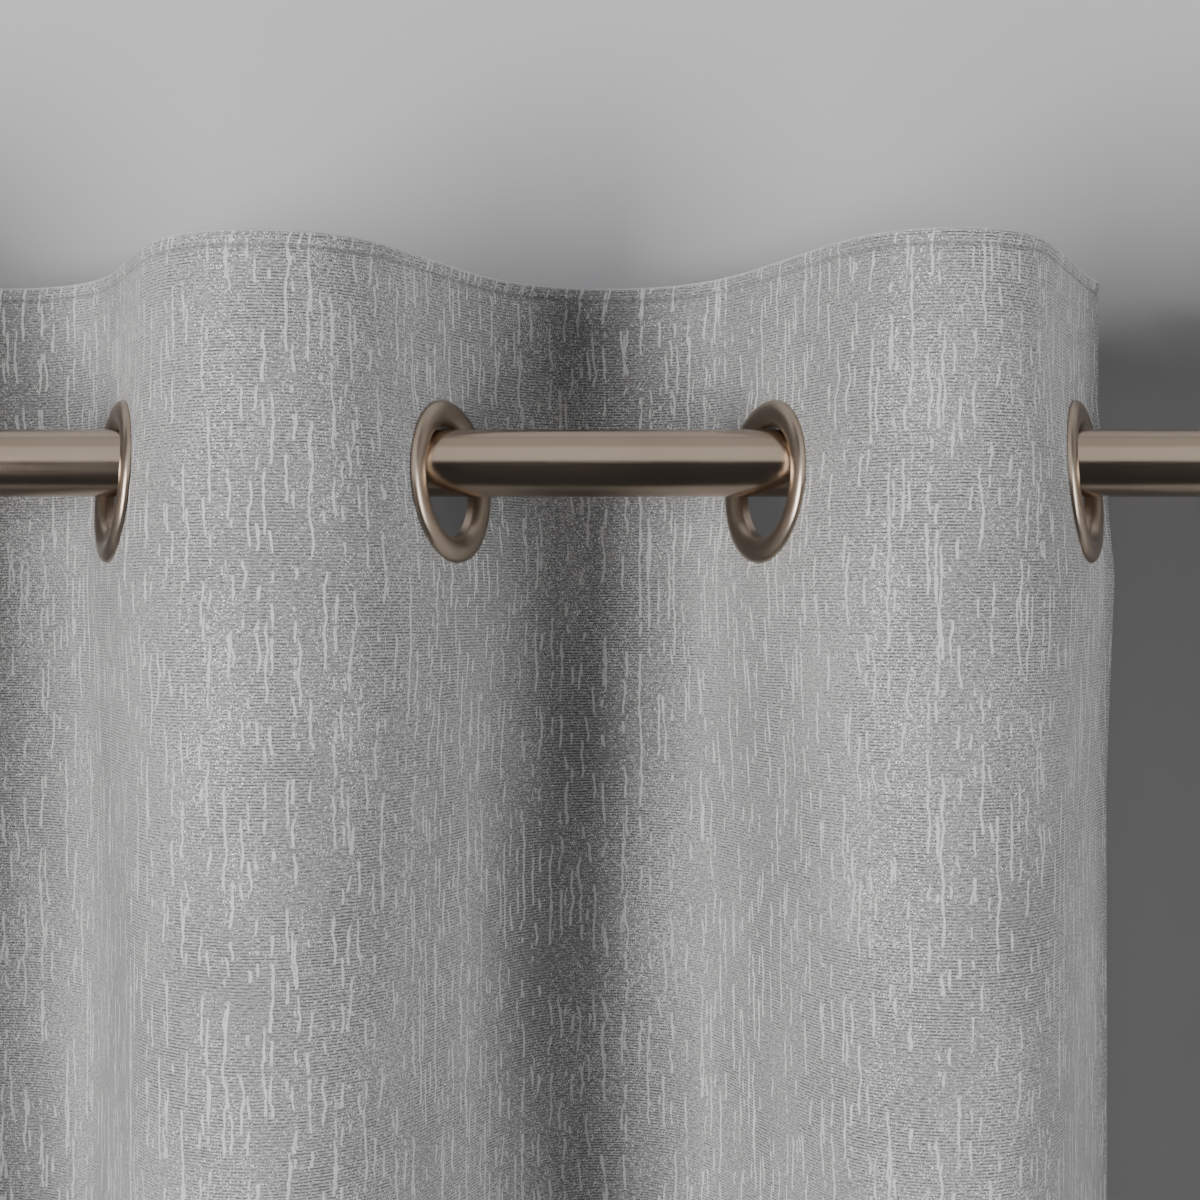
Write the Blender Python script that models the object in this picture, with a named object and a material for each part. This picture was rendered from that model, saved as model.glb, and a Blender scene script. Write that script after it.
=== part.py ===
"""A pair of eyelet curtains on a metal pole held by two wall brackets.

Metres, +Z up. The wall is the plane y = 0, the room is at -Y, and z = 0 is the pole's axis.
Each panel is worked out for the left side, from its outer end towards the middle of the pole,
and the right panel is its mirror image.
"""

import math

import bmesh
import bpy
import numpy as np
from mathutils import Matrix, Vector

# Clearances
GAP = 0.0003  # left between pieces that touch
CUT = 0.002  # how far a cutter passes the wall that it cuts

# Pole
POLE_RADIUS = 0.014
POLE_WALL = 0.0012
PROJECTION = 0.095  # wall to the pole's axis
POLE_SIDES = 24

# Curtain cloth
CLOTH_THICKNESS = 0.002
DROP = 1.37  # top edge to hem
HEADER_CLOTH = 0.0573  # an eyelet's rim to the top edge
RIM_TO_RIM_CLOTH = 0.144  # cloth between the rims of two neighbouring eyelets
EDGE_CLOTH = 0.021  # cloth from the rim of an end eyelet to the panel's edge
FULLNESS = (1.63, 1.58, 1.55, 1.59, 1.64)  # each fold's cloth over its share of the pole, outer first
HALF_OPENING = 0.066  # middle of the pole to each panel's leading eyelet
FLANK = math.radians(67)  # the cloth's angle to the pole where it passes through an eyelet
FOLD_STEPS = 8  # chords in the round of a fold

# Eyelets
EYELET_RADIUS = 0.034
EYELET_BORE = 0.023
BARREL_WALL = 0.0014
FRONT_RISE = 0.0044  # cloth's middle to the crown of the front ring
BACK_RISE = 0.0040
EYELET_SIDES = 20
LEAN = 0.095  # sideways per metre of height: each eyelet's top leans towards the fold in front
LEAN_REACH = EYELET_RADIUS + 0.004
LEAN_FADE = 0.130  # below the eyelet's centre, where the cloth hangs plumb again

# Brackets
CRADLE_WIDTH = 0.020
CRADLE_WALL = 0.003
CRADLE_LIP = 0.006  # how far the cradle's sides rise above the pole's axis
CRADLE_STEPS = 12
STUD_RADIUS = 0.004
CRADLE_STUD = 0.014
PLATE_STUD = 0.020
PLATE_RADIUS = 0.026
PLATE_THICKNESS = 0.005
ARM_RADIUS = 0.007
ARM_FOOT_RADIUS = 0.0105
ARM_FOOT = 0.003
BRACKET_SIDES = 16
END_PLAY = 0.003  # end eyelet to its bracket, and to its finial

# Finials
SLEEVE_DEPTH = 0.022
SLEEVE_WALL = 0.0025
SLEEVE_END = 0.004
SLEEVE_BEAD = 0.0012
BALL_RADIUS = 0.024
NECK_RADIUS = 0.008
NECK_LENGTH = 0.006
BALL_STUD_RADIUS = 0.003
BALL_STUD = 0.008
BALL_STEPS = 8

# Screws
WALL_SCREW_RADIUS = 0.002
WALL_SCREW_LENGTH = 0.035
WALL_SCREW_HEAD = 0.004
WALL_SCREW_HEAD_RISE = 0.002
WALL_SCREW_SPACING = 0.036
GRUB_RADIUS = 0.0015
GRUB_PROUD = 0.0006
LOCK_SCREW_RADIUS = 0.002
LOCK_HEAD_RADIUS = 0.0042
LOCK_HEAD = 0.006
SCREW_SIDES = 10

# Worked out from the above
FOLD_CLOTH = 2 * EYELET_RADIUS + RIM_TO_RIM_CLOTH  # from one eyelet's centre to the next
EDGE_LENGTH = EYELET_RADIUS + EDGE_CLOTH
PITCHES = [FOLD_CLOTH / fullness for fullness in FULLNESS]
EYELET_X = [-HALF_OPENING - sum(PITCHES[i:]) for i in range(len(PITCHES) + 1)]
EYELET_REACH = EYELET_RADIUS * (math.cos(FLANK) + LEAN) + FRONT_RISE * math.sin(FLANK)
BARREL_FRONT = FRONT_RISE - 2 * BARREL_WALL
BARREL_BACK = BARREL_WALL - BACK_RISE
SLEEVE_X = -EYELET_X[0] + EYELET_REACH + END_PLAY
POLE_END = SLEEVE_X + SLEEVE_DEPTH - GAP
BRACKET_X = -EYELET_X[0] - EYELET_REACH - END_PLAY - CRADLE_WIDTH / 2
CRADLE_INNER = POLE_RADIUS + GAP
CRADLE_OUTER = CRADLE_INNER + CRADLE_WALL
SLEEVE_INNER = POLE_RADIUS + GAP
SLEEVE_OUTER = SLEEVE_INNER + SLEEVE_WALL

X = Vector((1, 0, 0))
Y = Vector((0, 1, 0))
Z = Vector((0, 0, 1))
HANDS = {"left": 1, "right": -1}


def bulge(fold):
    """-1 for a fold in front of the pole, which every odd one is, and 1 for one behind it."""
    return -1 if fold % 2 else 1


def eyelet_axes(eyelet):
    """Up in the eyelet's own plane, and the way its front ring faces."""
    angle = bulge(eyelet) * FLANK
    across = Vector((math.cos(angle), math.sin(angle), 0))
    up = Vector((-bulge(eyelet) * LEAN, 0, 1))
    up = (up - across * up.dot(across)).normalized()
    return up, across.cross(up)


def hanging_height():
    """An eyelet's centre above the pole's axis when the flats of its bore rest on the pole."""
    up, facing = eyelet_axes(1)
    side = facing.cross(up)
    corners = [math.tau * i / EYELET_SIDES for i in range(EYELET_SIDES + 1)]
    reach = POLE_RADIUS + GAP
    heights = []
    for depth in (BARREL_BACK, BARREL_FRONT):
        rim = [facing * depth + (up * math.cos(a) + side * math.sin(a)) * EYELET_BORE for a in corners]
        for start, end in zip(rim, rim[1:]):
            for share in np.linspace(0, 1, 9):
                point = start.lerp(end, share)
                if point.z > 0 and abs(point.y) < reach:
                    heights.append(math.sqrt(reach**2 - point.y**2) - point.z)
    return max(heights)


EYELET_Z = hanging_height()
TOP = EYELET_Z + EYELET_RADIUS + HEADER_CLOTH
HEM = TOP - DROP


def clear_scene():
    for obj in list(bpy.data.objects):
        bpy.data.objects.remove(obj, do_unlink=True)


def make_material(name, colour, roughness, metallic):
    material = bpy.data.materials.new(name)
    material.use_nodes = True
    shader = material.node_tree.nodes["Principled BSDF"]
    shader.inputs["Base Color"].default_value = (*colour, 1)
    shader.inputs["Roughness"].default_value = roughness
    shader.inputs["Metallic"].default_value = metallic
    return material


# Shapes


def frame_at(origin, direction, sideways):
    """A matrix that puts local Z along direction and local X along sideways, at origin."""
    z = Vector(direction).normalized()
    x = Vector(sideways).normalized()
    y = z.cross(x)
    rotation = Matrix((x, y, z)).transposed()
    return Matrix.Translation(origin) @ rotation.to_4x4()


def add_object(name, bm, material, matrix=None):
    bmesh.ops.recalc_face_normals(bm, faces=bm.faces)
    mesh = bpy.data.meshes.new(name)
    bm.to_mesh(mesh)
    bm.free()
    mesh.materials.append(material)
    mesh.shade_smooth()
    mesh.set_sharp_from_angle(angle=math.radians(35))
    obj = bpy.data.objects.new(name, mesh)
    obj.matrix_world = matrix or Matrix()
    bpy.context.scene.collection.objects.link(obj)
    return obj


def turned(name, profile, material, matrix, sides):
    """A solid turned round local Z. A profile that stays off the axis makes a ring."""
    bm = bmesh.new()
    verts = [bm.verts.new((radius, 0, height)) for radius, height in profile]
    edges = [bm.edges.new(pair) for pair in zip(verts, verts[1:])]
    if min(radius for radius, _ in profile) > 0:
        edges.append(bm.edges.new((verts[-1], verts[0])))
    bmesh.ops.spin(
        bm, geom=verts + edges, cent=(0, 0, 0), axis=Z, angle=math.tau, steps=sides, use_merge=True
    )
    bmesh.ops.remove_doubles(bm, verts=bm.verts, dist=1e-6)
    return add_object(name, bm, material, matrix)


def make_helper(obj):
    obj.hide_render = True
    obj.display_type = "WIRE"
    return obj


def rod_cutter(name, radius, start, end, matrix, material, sides=BRACKET_SIDES):
    """A hidden cylinder along local Z, from height start to height end."""
    profile = [(0, start), (radius, start), (radius, end), (0, end)]
    return make_helper(turned(name, profile, material, matrix, sides))


def apply_boolean(obj, other, operation):
    modifier = obj.modifiers.new(other.name, "BOOLEAN")
    modifier.operation = operation
    modifier.solver = "EXACT"
    modifier.object = other


# Curtain cloth


def lean_shift(z):
    """How far an eyelet's line of cloth stands aside at height z, for a lean to the right."""
    height = z - EYELET_Z
    if height < -LEAN_REACH:
        faded = (height + LEAN_FADE) / (LEAN_FADE - LEAN_REACH)
        return -LEAN * LEAN_REACH * max(0.0, faded)
    return LEAN * min(height, LEAN_REACH)


def eyelet_x(eyelet, z):
    return EYELET_X[eyelet - 1] - bulge(eyelet) * lean_shift(z)


def fold_shape(pitch):
    """(flank, radius): the straight cloth at each end of a fold, and the radius of its round."""
    radius = (pitch - FOLD_CLOTH * math.cos(FLANK)) / 2 / (math.sin(FLANK) - FLANK * math.cos(FLANK))
    return FOLD_CLOTH / 2 - radius * FLANK, radius


def cloth_point(along, pitch):
    """(x, y, angle) of the cloth this far along it from an eyelet, the fold rising to +Y."""
    flank, radius = fold_shape(pitch)
    if along > FOLD_CLOTH / 2:
        x, y, angle = cloth_point(FOLD_CLOTH - along, pitch)
        return pitch - x, y, -angle
    angle = FLANK - max(0.0, along - flank) / radius
    straight = min(along, flank)
    x = straight * math.cos(FLANK) + radius * (math.sin(FLANK) - math.sin(angle))
    y = straight * math.sin(FLANK) + radius * (math.cos(angle) - math.cos(FLANK))
    return x, y, angle


def fold_line(fold, z):
    """The fold's centre line at height z, from its outer eyelet to its inner one."""
    start = eyelet_x(fold, z)
    pitch = eyelet_x(fold + 1, z) - start
    flank, _ = fold_shape(pitch)
    round_part = np.linspace(flank, FOLD_CLOTH - flank, FOLD_STEPS + 1)
    line = []
    for along in (GAP / 2, *round_part, FOLD_CLOTH - GAP / 2):
        x, y, angle = cloth_point(along, pitch)
        line.append((start + x, bulge(fold) * y, bulge(fold) * angle))
    return line


def edge_line(eyelet, way, z):
    """The cloth beyond an end eyelet, which turns back behind the pole. way is -1 or 1 along X."""
    start = eyelet_x(eyelet, z)
    pitch = PITCHES[0] if way < 0 else PITCHES[-1]
    line = []
    for along in np.linspace(GAP / 2, EDGE_LENGTH, FOLD_STEPS // 2):
        x, y, angle = cloth_point(along, pitch)
        line.append((start + way * x, y, way * angle))
    return line


def cloth_solid(name, line_at, hand, material):
    """A closed sheet of cloth, whose centre line at height z is line_at(z)."""
    levels = (
        HEM,
        EYELET_Z - LEAN_FADE,
        EYELET_Z - LEAN_REACH,
        EYELET_Z + LEAN_REACH,
        TOP,
    )
    bm = bmesh.new()
    rows = []
    for z in levels:
        row = []
        for x, y, angle in line_at(z):
            out = Vector((math.sin(angle), -math.cos(angle), 0)) * CLOTH_THICKNESS / 2
            middle = Vector((x, y, z))
            pair = []
            for point in (middle + out, middle - out):
                pair.append(bm.verts.new((hand * point.x, point.y - PROJECTION, z)))
            row.append(pair)
        rows.append(row)
    last = len(rows[0]) - 1
    for low, high in zip(rows, rows[1:]):
        for i in range(last):
            for face in (0, 1):
                bm.faces.new((low[i][face], low[i + 1][face], high[i + 1][face], high[i][face]))
        for i in (0, last):
            bm.faces.new((low[i][0], low[i][1], high[i][1], high[i][0]))
    for row in (rows[0], rows[-1]):
        for i in range(last):
            bm.faces.new((row[i][0], row[i + 1][0], row[i + 1][1], row[i][1]))
    return add_object(name, bm, material)


# Eyelets


def eyelet_frame(eyelet, hand):
    """Local Z is the way the front ring faces, and local X is up in the eyelet's own plane."""
    up, facing = eyelet_axes(eyelet)
    for vector in (up, facing):
        vector.x *= hand
    origin = Vector((hand * EYELET_X[eyelet - 1], -PROJECTION, EYELET_Z))
    return frame_at(origin, facing, up)


def front_ring_profile():
    lip = CLOTH_THICKNESS / 2 + GAP
    barrel = EYELET_BORE + BARREL_WALL
    return [
        (EYELET_BORE, BARREL_BACK),
        (EYELET_BORE, BARREL_FRONT),
        (EYELET_BORE + BARREL_WALL, FRONT_RISE - BARREL_WALL / 2),
        ((EYELET_BORE + EYELET_RADIUS) / 2, FRONT_RISE),
        (EYELET_RADIUS - BARREL_WALL, FRONT_RISE - BARREL_WALL),
        (EYELET_RADIUS, lip),
        (barrel, lip),
        (barrel, BARREL_BACK),
    ]


def back_ring_profile():
    lip = CLOTH_THICKNESS / 2 + GAP
    bore = EYELET_BORE + BARREL_WALL + GAP
    return [
        (bore, -lip),
        (EYELET_RADIUS, -lip),
        (EYELET_RADIUS - BARREL_WALL, BARREL_BACK),
        ((EYELET_BORE + EYELET_RADIUS) / 2, -BACK_RISE),
        (bore, -BACK_RISE + BARREL_WALL / 2),
    ]


def make_eyelet(side, eyelet, metal):
    frame = eyelet_frame(eyelet, HANDS[side])
    name = f"{side}_eyelet_{eyelet}"
    turned(f"{name}_front_ring", front_ring_profile(), metal, frame, EYELET_SIDES)
    turned(f"{name}_back_ring", back_ring_profile(), metal, frame, EYELET_SIDES)


def make_panel(side, cloth, metal):
    hand = HANDS[side]
    last = len(EYELET_X)
    hole = EYELET_BORE + BARREL_WALL + GAP
    cutters = {}
    for eyelet in range(1, last + 1):
        make_eyelet(side, eyelet, metal)
        cutters[eyelet] = rod_cutter(
            f"{side}_hole_{eyelet}",
            hole,
            -FRONT_RISE,
            FRONT_RISE,
            eyelet_frame(eyelet, hand),
            metal,
            EYELET_SIDES,
        )
    for fold in range(1, last):
        obj = cloth_solid(
            f"{side}_curtain_fold_{fold}", lambda z, fold=fold: fold_line(fold, z), hand, cloth
        )
        for eyelet in (fold, fold + 1):
            apply_boolean(obj, cutters[eyelet], "DIFFERENCE")
    for name, eyelet, way in (("return_edge", 1, -1), ("leading_edge", last, 1)):
        obj = cloth_solid(
            f"{side}_curtain_{name}", lambda z, e=eyelet, w=way: edge_line(e, w, z), hand, cloth
        )
        apply_boolean(obj, cutters[eyelet], "DIFFERENCE")


# Pole and finials


def make_pole(metal):
    inner = POLE_RADIUS - POLE_WALL
    profile = [(POLE_RADIUS, -POLE_END), (POLE_RADIUS, POLE_END), (inner, POLE_END), (inner, -POLE_END)]
    turned("curtain_pole", profile, metal, frame_at((0, -PROJECTION, 0), X, Z), POLE_SIDES)


def make_sleeve(side, outward, origin, metal, steel):
    """The sleeve that slides over the pole's end, with the small screw that grips the pole."""
    end = SLEEVE_DEPTH + SLEEVE_END
    bore = BALL_STUD_RADIUS + GAP
    bead = SLEEVE_OUTER + SLEEVE_BEAD
    profile = [
        (SLEEVE_INNER, 0),
        (bead, 0),
        (bead, 2 * SLEEVE_BEAD),
        (SLEEVE_OUTER, 3 * SLEEVE_BEAD),
        (SLEEVE_OUTER, SLEEVE_DEPTH),
        (NECK_RADIUS, end),
        (bore, end),
        (bore, SLEEVE_DEPTH),
        (SLEEVE_INNER, SLEEVE_DEPTH),
    ]
    sleeve = turned(f"{side}_finial_sleeve", profile, metal, frame_at(origin, outward, Z), POLE_SIDES)
    middle = origin + outward * SLEEVE_DEPTH / 2
    below = frame_at(middle, -Z, X)
    hole = rod_cutter(
        f"{side}_finial_screw_hole",
        GRUB_RADIUS + GAP,
        POLE_RADIUS - CUT,
        SLEEVE_OUTER + CUT,
        below,
        steel,
    )
    apply_boolean(sleeve, hole, "DIFFERENCE")
    tip, head = POLE_RADIUS + GAP, SLEEVE_OUTER + GRUB_PROUD
    screw = [(0, tip), (GRUB_RADIUS, tip), (GRUB_RADIUS, head), (0, head)]
    turned(f"{side}_finial_screw", screw, steel, below, SCREW_SIDES)


def make_ball(side, outward, origin, metal):
    """The ball, its neck, and the stud that goes into the sleeve's end."""
    seat = SLEEVE_DEPTH + SLEEVE_END + GAP
    start = math.asin(NECK_RADIUS / BALL_RADIUS)
    centre = seat + NECK_LENGTH + BALL_RADIUS * math.cos(start)
    profile = [
        (0, seat - BALL_STUD),
        (BALL_STUD_RADIUS, seat - BALL_STUD),
        (BALL_STUD_RADIUS, seat),
        (NECK_RADIUS, seat),
        (NECK_RADIUS - SLEEVE_BEAD, seat + NECK_LENGTH / 2),
    ]
    for angle in np.linspace(start, math.pi, BALL_STEPS + 1):
        profile.append((BALL_RADIUS * math.sin(angle), centre - BALL_RADIUS * math.cos(angle)))
    profile[-1] = (0, centre + BALL_RADIUS)
    turned(f"{side}_finial_ball", profile, metal, frame_at(origin, outward, Z), POLE_SIDES)


def make_finial(side, metal, steel):
    outward = -X * HANDS[side]
    origin = outward * SLEEVE_X - Y * PROJECTION
    make_sleeve(side, outward, origin, metal, steel)
    make_ball(side, outward, origin, metal)


# Brackets


def make_wall_plate(side, wall, metal, steel):
    """The round plate on the wall, its stud for the arm, and its two screws."""
    outline = [
        (0, 0),
        (PLATE_RADIUS, 0),
        (PLATE_RADIUS, PLATE_THICKNESS / 2),
        (PLATE_RADIUS - PLATE_THICKNESS / 2, PLATE_THICKNESS),
        (STUD_RADIUS, PLATE_THICKNESS),
        (STUD_RADIUS, PLATE_THICKNESS + PLATE_STUD),
        (0, PLATE_THICKNESS + PLATE_STUD),
    ]
    plate = turned(
        f"{side}_bracket_wall_plate", outline, metal, frame_at(wall, -Y, Z), BRACKET_SIDES
    )
    face = PLATE_THICKNESS + GAP
    tail = PLATE_THICKNESS - WALL_SCREW_LENGTH
    screw = [
        (0, tail),
        (WALL_SCREW_RADIUS, tail + WALL_SCREW_RADIUS),
        (WALL_SCREW_RADIUS, face),
        (WALL_SCREW_HEAD, face),
        (WALL_SCREW_HEAD, face + WALL_SCREW_HEAD_RISE / 2),
        (0, face + WALL_SCREW_HEAD_RISE),
    ]
    for name, way in (("upper", 1), ("lower", -1)):
        at = frame_at(wall + Z * way * WALL_SCREW_SPACING / 2, -Y, Z)
        hole = rod_cutter(
            f"{side}_{name}_wall_screw_hole",
            WALL_SCREW_RADIUS + GAP,
            -CUT,
            PLATE_THICKNESS + CUT,
            at,
            steel,
        )
        apply_boolean(plate, hole, "DIFFERENCE")
        turned(f"{side}_bracket_{name}_wall_screw", screw, steel, at, SCREW_SIDES)


def make_arm(side, wall, metal, steel):
    """The hollow arm between the two studs, with the small screw that grips the plate's stud."""
    bore = STUD_RADIUS + GAP
    foot = PLATE_THICKNESS + GAP
    front = PROJECTION - CRADLE_OUTER - GAP
    profile = [
        (bore, foot),
        (ARM_FOOT_RADIUS, foot),
        (ARM_FOOT_RADIUS, foot + ARM_FOOT),
        (ARM_RADIUS, foot + 2 * ARM_FOOT),
        (ARM_RADIUS, front),
        (bore, front),
    ]
    arm = turned(f"{side}_bracket_arm", profile, metal, frame_at(wall, -Y, Z), BRACKET_SIDES)
    below = frame_at(wall - Y * (PLATE_THICKNESS + PLATE_STUD * 0.7), -Z, X)
    hole = rod_cutter(
        f"{side}_arm_screw_hole", GRUB_RADIUS + GAP, STUD_RADIUS - CUT, ARM_RADIUS + CUT, below, steel
    )
    apply_boolean(arm, hole, "DIFFERENCE")
    head = ARM_RADIUS + GRUB_PROUD
    screw = [(0, bore), (GRUB_RADIUS, bore), (GRUB_RADIUS, head), (0, head)]
    turned(f"{side}_bracket_arm_screw", screw, steel, below, SCREW_SIDES)


def cradle_outline():
    """The cradle's open-topped U round the pole, as (y, z) points, the outside first."""
    down = np.linspace(math.pi, math.tau, CRADLE_STEPS + 1)
    outer = [(CRADLE_OUTER * math.cos(a), CRADLE_OUTER * math.sin(a)) for a in down]
    inner = [(CRADLE_INNER * math.cos(a), CRADLE_INNER * math.sin(a)) for a in reversed(down)]
    return [
        (-CRADLE_OUTER, CRADLE_LIP),
        *outer,
        (CRADLE_OUTER, CRADLE_LIP),
        (CRADLE_INNER, CRADLE_LIP),
        *inner,
        (-CRADLE_INNER, CRADLE_LIP),
    ]


def make_cradle(side, x, metal, steel):
    """The U that the pole lies in, its stud for the arm, and the screw that locks the pole."""
    bm = bmesh.new()
    verts = [bm.verts.new((x - CRADLE_WIDTH / 2, y - PROJECTION, z)) for y, z in cradle_outline()]
    extruded = bmesh.ops.extrude_face_region(bm, geom=[bm.faces.new(verts)])
    moved = [item for item in extruded["geom"] if isinstance(item, bmesh.types.BMVert)]
    bmesh.ops.translate(bm, vec=X * CRADLE_WIDTH, verts=moved)
    cradle = add_object(f"{side}_bracket_cradle", bm, metal)
    pole = Vector((x, -PROJECTION, 0))
    stud = rod_cutter(
        f"{side}_cradle_stud",
        STUD_RADIUS,
        CRADLE_INNER + CRADLE_WALL / 2,
        CRADLE_OUTER + CRADLE_STUD,
        frame_at(pole, Y, Z),
        metal,
    )
    apply_boolean(cradle, stud, "UNION")
    below = frame_at(pole, -Z, X)
    hole = rod_cutter(
        f"{side}_pole_screw_hole",
        LOCK_SCREW_RADIUS + GAP,
        POLE_RADIUS - CUT,
        CRADLE_OUTER + CUT,
        below,
        steel,
    )
    apply_boolean(cradle, hole, "DIFFERENCE")
    tip = POLE_RADIUS + GAP
    head = CRADLE_OUTER + GAP
    screw = [
        (0, tip),
        (LOCK_SCREW_RADIUS, tip),
        (LOCK_SCREW_RADIUS, head),
        (LOCK_HEAD_RADIUS, head),
        (LOCK_HEAD_RADIUS, head + LOCK_HEAD),
        (0, head + LOCK_HEAD),
    ]
    turned(f"{side}_bracket_pole_screw", screw, steel, below, SCREW_SIDES)


def make_bracket(side, metal, steel):
    x = -HANDS[side] * BRACKET_X
    wall = Vector((x, 0, 0))
    make_wall_plate(side, wall, metal, steel)
    make_arm(side, wall, metal, steel)
    make_cradle(side, x, metal, steel)


def main():
    clear_scene()
    bronze = make_material("brushed_bronze", (0.30, 0.26, 0.22), 0.32, 1.0)
    steel = make_material("zinc_steel", (0.45, 0.44, 0.43), 0.35, 1.0)
    cloth = make_material("silver_grey_cloth", (0.46, 0.46, 0.48), 0.75, 0.0)
    make_pole(bronze)
    for side in HANDS:
        make_finial(side, bronze, steel)
        make_bracket(side, bronze, steel)
        make_panel(side, cloth, bronze)


main()
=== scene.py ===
"""A pair of lined eyelet curtains in a silver-grey slub weave, on a bronze pole between two brackets.

Metres, +Z up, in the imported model's frame: the wall is the plane y = 0, the room is at -Y, and
z = 0 is the pole's axis. Each panel is worked out for the left side, from its outer end towards
the middle of the pole, and the right panel is its mirror image.
"""

import functools
import math

import bmesh
import bpy
import numpy as np
from mathutils import Matrix, Vector


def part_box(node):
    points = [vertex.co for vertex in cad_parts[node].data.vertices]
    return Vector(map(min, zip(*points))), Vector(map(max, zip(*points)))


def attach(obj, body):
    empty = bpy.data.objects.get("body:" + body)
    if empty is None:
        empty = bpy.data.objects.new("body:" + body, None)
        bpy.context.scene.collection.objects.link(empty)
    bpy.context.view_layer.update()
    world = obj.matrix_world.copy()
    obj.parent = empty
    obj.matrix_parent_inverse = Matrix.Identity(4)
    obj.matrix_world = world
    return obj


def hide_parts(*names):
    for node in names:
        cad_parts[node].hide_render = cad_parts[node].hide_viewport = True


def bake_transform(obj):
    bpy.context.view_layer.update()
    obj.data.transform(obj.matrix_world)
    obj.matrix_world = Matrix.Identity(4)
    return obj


SEED = 7
GAP = 0.0003  # left between pieces that touch

X = Vector((1, 0, 0))
Y = Vector((0, 1, 0))
Z = Vector((0, 0, 1))
HANDS = {"left": 1, "right": -1}

# Eyelets and the lie of the cloth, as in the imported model
EYELETS = 6
EYELET_RADIUS = 0.034
EYELET_BORE = 0.023
BARREL_WALL = 0.0014
FRONT_RISE = 0.0044  # cloth's middle to the crown of the front ring
BACK_RISE = 0.0040
ROUND_SIDES = 96
LIP_SHOULDER = 0.0052  # from the crown of the front lip out to its edge
LIP_EDGE = 0.0014
FOLD_CLOTH = 0.212  # from one eyelet's centre to the next
EDGE_LENGTH = 0.055  # from an end eyelet's centre to the panel's edge
FLANK = math.radians(67)  # the cloth's angle to the pole where it passes through an eyelet
LEAN = 0.095  # sideways per metre of height: each eyelet's top leans towards the fold in front
LEAN_REACH = EYELET_RADIUS + 0.004
LEAN_FADE = 0.130  # below the eyelet's centre, where the cloth hangs plumb again
PANEL_CLOTH = (EYELETS - 1) * FOLD_CLOTH + 2 * EDGE_LENGTH

# Layers of a panel, measured from the middle of the cloth, the face side positive
FACE = 0.0010
TURNED = -0.0010  # face cloth turned to the back, in the header and hems
LINING_FRONT = -0.0001
LINING_BACK = -0.0006
FACING = 0.135  # face cloth turned down behind the eyelets
HEM_DEPTH = 0.080
SIDE_HEM = 0.025
LINING_RISE = 0.028  # the lining's own hem above the panel's
LINING_HEM = 0.016
TUCK = 0.008  # lining under the turned cloth
STEP = 0.0006  # width over which a turned edge steps down
TOP_BAND = 0.0057  # top edge to the crease of its topstitching
CREASE = 0.0008
CREASE_WIDTH = 0.0007
EDGE_ROUND = 0.0011
BAND_SLANT = 0.25  # how far the slubs slip sideways in the top band, per metre of height

# Natural unevenness of the hanging cloth
SWAY_X = 0.0035
SWAY_Y = 0.0045
SWAY_FROM = 0.05  # below the eyelets' centres
SWAY_FULL = 0.75
SWAY_WAVES = 6
RIPPLE = 0.00035
RIPPLE_WAVES = 14
COLUMN = 0.0029
ROW_FINE = 0.0029
ROW_COARSE = 0.0060

# Stitches
STITCH = 0.0030
STITCH_GAP = 0.0009
THREAD = 0.00026

# Fabric weave
RIB = 0.00122  # one weft rib to the next
GLINT = 0.00036  # side of one fleck of metal thread
# Each layer of raised threads: pitch, breaks per metre of length, cover, seed
SLUB_LAYERS = ((0.0069, 30.0, 0.535, 3.1), (0.0085, 58.0, 0.545, 11.7), (0.0104, 78.0, 0.54, 19.3))

# Pole and brackets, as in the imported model
POLE_WALL = 0.0012
CRADLE_WIDTH = 0.020
CRADLE_WALL = 0.003
CRADLE_LIP = 0.006  # how far the cradle's sides rise above the pole's axis
PLATE_RADIUS = 0.026
PLATE_THICKNESS = 0.005
PLATE_STUD = 0.020
STUD_RADIUS = 0.004
ARM_RADIUS = 0.007
ARM_FOOT_RADIUS = 0.0105
ARM_FOOT = 0.003

# Finials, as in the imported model
SLEEVE_DEPTH = 0.022
SLEEVE_WALL = 0.0025
SLEEVE_END = 0.004
SLEEVE_BEAD = 0.0012
BALL_RADIUS = 0.024
NECK_RADIUS = 0.008
NECK_LENGTH = 0.006
BALL_STUD_RADIUS = 0.003
BALL_STUD = 0.008

# Screws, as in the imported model
WALL_SCREW_RADIUS = 0.002
WALL_SCREW_LENGTH = 0.035
WALL_SCREW_HEAD = 0.004
WALL_SCREW_HEAD_RISE = 0.002
WALL_SCREW_SPACING = 0.036
THREAD_PITCH = 0.0014
GRUB_RADIUS = 0.0015
GRUB_PROUD = 0.0006
LOCK_SCREW_RADIUS = 0.002
LOCK_HEAD_RADIUS = 0.0042
LOCK_HEAD = 0.006

# Softened corners
FITTING_ROUND = 0.0012
CRADLE_ROUND = 0.0006
NECK_ROUND = 0.0009
KNURLS = 20

# Studio
CAMERA_PLACE = (-0.2653, -0.920, -0.0568)
CAMERA_LENS = 59.6
WALL_BEHIND = 0.0004  # so that the plates don't lie in the wall's own surface
FLOOR_BELOW_HEM = 0.25
ROOM_SIDE = 4.0
ROOM_HEIGHT = 3.0
ROOM_DEPTH = 5.0
BEHIND_WALL = 3.0
SOFTBOX_REACH = 2.8
SOFTBOX_HEIGHT = 2.0


# The frame


def ring_names(side, eyelet):
    return [f"{side}_eyelet_{eyelet}_{ring}_ring" for ring in ("front", "back")]


def box_of(names):
    """(lowest corner, highest corner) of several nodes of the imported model."""
    corners = [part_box(name) for name in names]
    low = Vector(min(c[0][i] for c in corners) for i in range(3))
    high = Vector(max(c[1][i] for c in corners) for i in range(3))
    return low, high


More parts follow.
